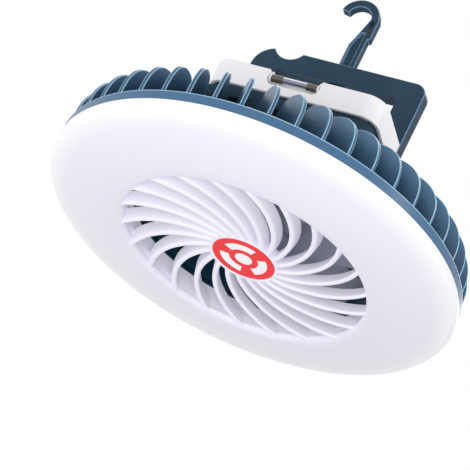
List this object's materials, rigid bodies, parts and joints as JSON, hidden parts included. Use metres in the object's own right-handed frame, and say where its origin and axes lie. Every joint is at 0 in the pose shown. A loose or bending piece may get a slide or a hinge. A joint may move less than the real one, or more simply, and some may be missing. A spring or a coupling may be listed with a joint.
{
  "type": "portable camping fan",
  "caption": "Round hanging fan with a swirled front grille inside a broad ring light, fins round the back, a battery box, a fold-down hanging frame and a hook.",
  "frame": {"origin": "centre of the front lip, the lowest plane of the fan, on the rotor's axis", "axes": "+Z from the front grille to the hook along the rotor's axis; +X along the lid's pin; +Y from the lid's wall to the hanging frame"},
  "size_m": [0.2, 0.2, 0.1531],
  "materials": {
    "diffuser": "satin opal",
    "white_shell": "satin",
    "red_badge": "gloss",
    "badge_white": "gloss",
    "blue_shell": "satin",
    "blue_fins": "satin",
    "rotor_grey": "gloss",
    "board_green": "solder mask",
    "lamp_yellow": "phosphor",
    "steel": "bright",
    "spring_steel": "dark",
    "bronze": "sintered",
    "cell_wrap": "shrink wrap",
    "black_plastic": "moulded",
    "nylon": "natural",
    "window": "clear"
  },
  "bodies": {
    "housing": {"diffuser_ring": "diffuser", "front_grille": "white_shell", "throat_tube": "white_shell", "grille_badge": "red_badge", "badge_motif": "badge_white", "led_carrier": "white_shell", "led_board": "board_green", "led_chips": "lamp_yellow", "rim_band": "blue_fins", "cooling_fins": "blue_fins", "rear_cover": "blue_shell", "pedestal": "blue_shell", "housing_screws": "steel", "air_duct": "blue_shell", "motor_spider": "white_shell", "spider_screws": "steel", "motor_can": "steel", "motor_bearing": "bronze", "battery_holder": "black_plastic", "battery_cells": "cell_wrap", "cell_contacts": "steel", "box_cover": "white_shell", "box_screws": "steel", "control_board": "board_green", "charge_socket": "steel", "switch_board": "board_green", "tact_switches": "black_plastic", "charge_window": "window", "lid_pin": "steel", "lid_springs": "spring_steel", "pivot_washers": "nylon"},
    "rotor": {"motor_shaft": "steel", "impeller": "rotor_grey", "impeller_clip": "spring_steel"},
    "frame": {"frame_front": "blue_shell", "frame_back": "blue_shell", "frame_screws": "steel", "opener_insert": "steel", "frame_pins": "steel"},
    "hook_bar": {"hook": "blue_shell"},
    "lid": {"port_lid": "white_shell"},
    "power_key": {"power_button": "blue_shell"},
    "light_key": {"light_button": "blue_shell"}
  },
  "joints": [
    {"name": "rotor_spin", "type": "hinge", "parent": "housing", "child": "rotor", "pos_m": [0, 0, 0.0214], "axis": [0, 0, 1], "continuous": true},
    {"name": "frame_fold", "type": "hinge", "parent": "housing", "child": "frame", "pos_m": [0, 0.00865, 0.0741], "axis": [1, 0, 0], "range_deg": [-90, 0]},
    {"name": "hook_slide", "type": "slide", "parent": "frame", "child": "hook_bar", "axis": [0, 0, 1], "range_m": [-0.0167, 0]},
    {"name": "lid_hinge", "type": "hinge", "parent": "housing", "child": "lid", "pos_m": [-0.0022, -0.0304, 0.0786], "axis": [1, 0, 0], "range_deg": [0, 95], "stiffness_Nm_per_rad": 0.002, "springref_deg": -17.19},
    {"name": "power_press", "type": "slide", "parent": "housing", "child": "power_key", "axis": [0, 0, -1], "range_m": [0, 0.0008], "stiffness_N_per_m": 300, "springref_m": -0.001},
    {"name": "light_press", "type": "slide", "parent": "housing", "child": "light_key", "axis": [0, 0, -1], "range_m": [0, 0.0008], "stiffness_N_per_m": 300, "springref_m": -0.001}
  ]
}
